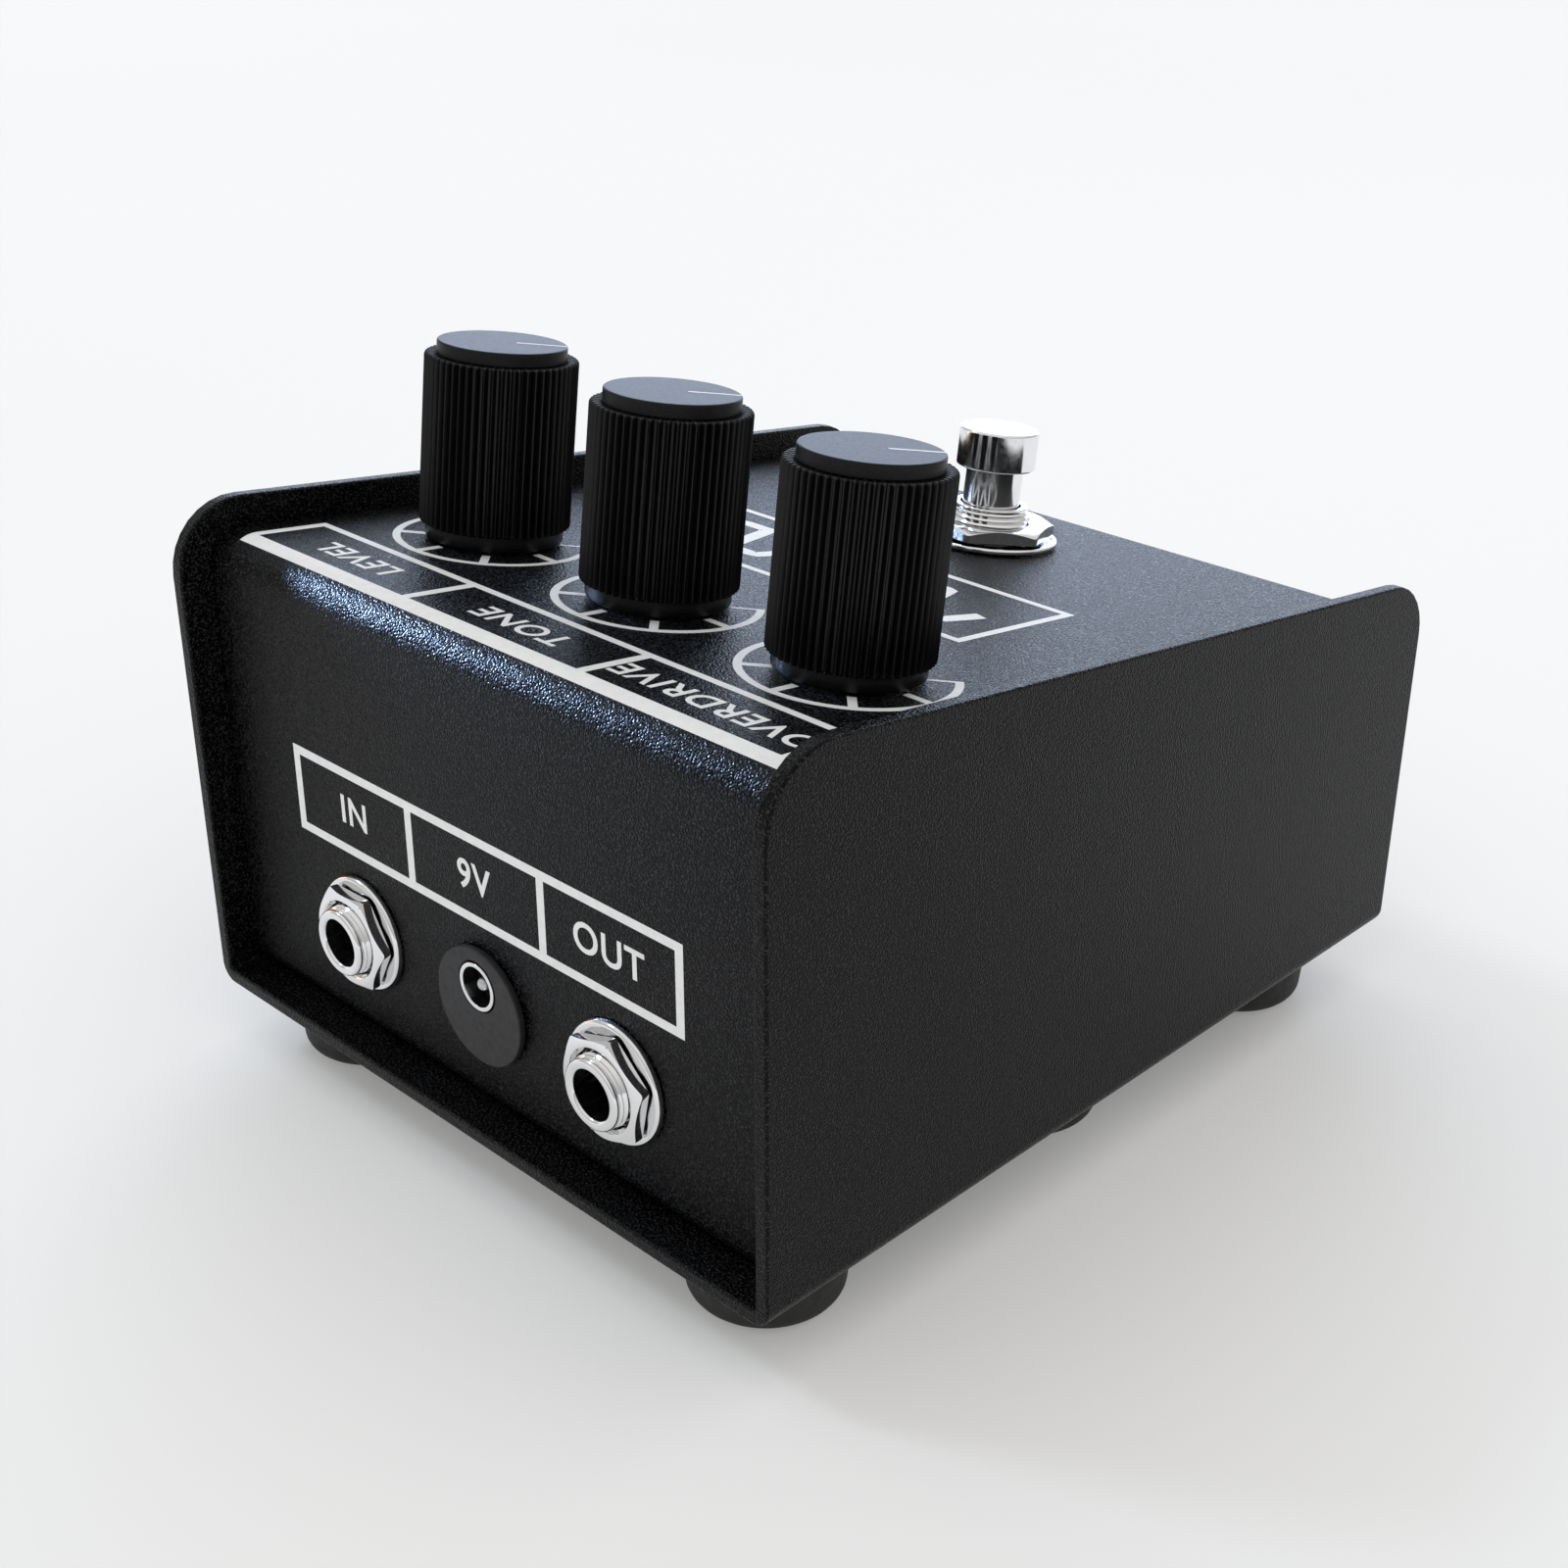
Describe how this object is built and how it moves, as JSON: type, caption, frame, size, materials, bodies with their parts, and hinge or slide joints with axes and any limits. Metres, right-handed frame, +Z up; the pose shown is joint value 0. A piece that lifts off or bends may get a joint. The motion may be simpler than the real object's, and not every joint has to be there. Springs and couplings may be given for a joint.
{
  "type": "guitar effects pedal",
  "caption": "Low black bent-sheet floor box with a sloping top carrying ribbed control knobs and a footswitch, with jacks and a power socket in its recessed rear panel.",
  "frame": {"origin": "on the floor, under the middle of the case", "axes": "+Z up, +Y out of the rear panel with the jacks, -Y towards the player, +X to the side of the input jack and the level knob"},
  "size_m": [0.108, 0.1272, 0.0978],
  "materials": {
    "powder_coat": "fine-grained matte black powder coat",
    "rubber": "matt black rubber",
    "knob_plastic": "satin black moulded plastic, ribbed",
    "cap_plastic": "satin black plastic with a light pointer line",
    "chrome": "bright nickel and chrome plate",
    "zinc_plate": "dull zinc-plated steel",
    "brass": "turned brass",
    "socket_plastic": "matt dark grey plastic",
    "switch_plastic": "blue moulded plastic",
    "board": "green solder mask over glass laminate",
    "chip_plastic": "black epoxy",
    "capacitor_sleeve": "dark blue shrink sleeve",
    "battery_sleeve": "plain grey metallised label",
    "clip_vinyl": "soft black vinyl",
    "wire_red": "red wire insulation",
    "wire_black": "black wire insulation"
  },
  "bodies": {
    "case": {"base_tray": "powder_coat", "battery": "battery_sleeve", "battery_clip": "clip_vinyl", "battery_lead_black": "wire_black", "battery_lead_red": "wire_red", "capacitor_large": "capacitor_sleeve", "capacitor_small": "capacitor_sleeve", "circuit_board": "board", "cover": "powder_coat", "foot_front_left": "rubber", "foot_front_right": "rubber", "foot_middle_left": "rubber", "foot_middle_right": "rubber", "foot_nut_middle_left": "zinc_plate", "foot_nut_middle_right": "zinc_plate", "foot_rear_left": "rubber", "foot_rear_right": "rubber", "foot_screw_front_left": "zinc_plate", "foot_screw_front_right": "zinc_plate", "foot_screw_middle_left": "zinc_plate", "foot_screw_middle_right": "zinc_plate", "foot_screw_rear_left": "zinc_plate", "foot_screw_rear_right": "zinc_plate", "footswitch_bushing": "chrome", "footswitch_housing": "switch_plastic", "footswitch_nut": "chrome", "footswitch_washer": "chrome", "in_jack_frame": "chrome", "in_jack_nut": "chrome", "in_jack_tip_contact": "zinc_plate", "in_jack_washer": "chrome", "level_pot": "zinc_plate", "level_pot_nut": "zinc_plate", "level_pot_washer": "zinc_plate", "op_amp": "chip_plastic", "out_jack_frame": "chrome", "out_jack_nut": "chrome", "out_jack_tip_contact": "zinc_plate", "out_jack_washer": "chrome", "overdrive_pot": "zinc_plate", "overdrive_pot_nut": "zinc_plate", "overdrive_pot_washer": "zinc_plate", "power_socket": "socket_plastic", "power_socket_nut": "zinc_plate", "power_socket_pin": "chrome", "power_socket_sleeve": "chrome", "tone_pot": "zinc_plate", "tone_pot_nut": "zinc_plate", "tone_pot_washer": "zinc_plate"},
    "level_control": {"level_shaft": "brass", "level_knob": "knob_plastic", "level_knob_cap": "cap_plastic"},
    "tone_control": {"tone_shaft": "brass", "tone_knob": "knob_plastic", "tone_knob_cap": "cap_plastic"},
    "overdrive_control": {"overdrive_shaft": "brass", "overdrive_knob": "knob_plastic", "overdrive_knob_cap": "cap_plastic"},
    "footswitch_plunger": {"footswitch_button": "chrome"}
  },
  "joints": [
    {"name": "level_turn", "type": "hinge", "parent": "case", "child": "level_control", "pos_m": [0.0321, 0.0284, 0.07097], "axis": [0, 0.1288, -0.9917], "range_deg": [0, 279]},
    {"name": "tone_turn", "type": "hinge", "parent": "case", "child": "tone_control", "pos_m": [0, 0.0284, 0.07097], "axis": [0, 0.1288, -0.9917], "range_deg": [0, 279]},
    {"name": "overdrive_turn", "type": "hinge", "parent": "case", "child": "overdrive_control", "pos_m": [-0.0321, 0.0284, 0.07097], "axis": [0, 0.1288, -0.9917], "range_deg": [0, 279]},
    {"name": "footswitch_press", "type": "slide", "parent": "case", "child": "footswitch_plunger", "axis": [0, 0.1288, -0.9917], "range_m": [0, 0.0035], "stiffness_N_per_m": 3000, "springref_m": -0.003}
  ]
}
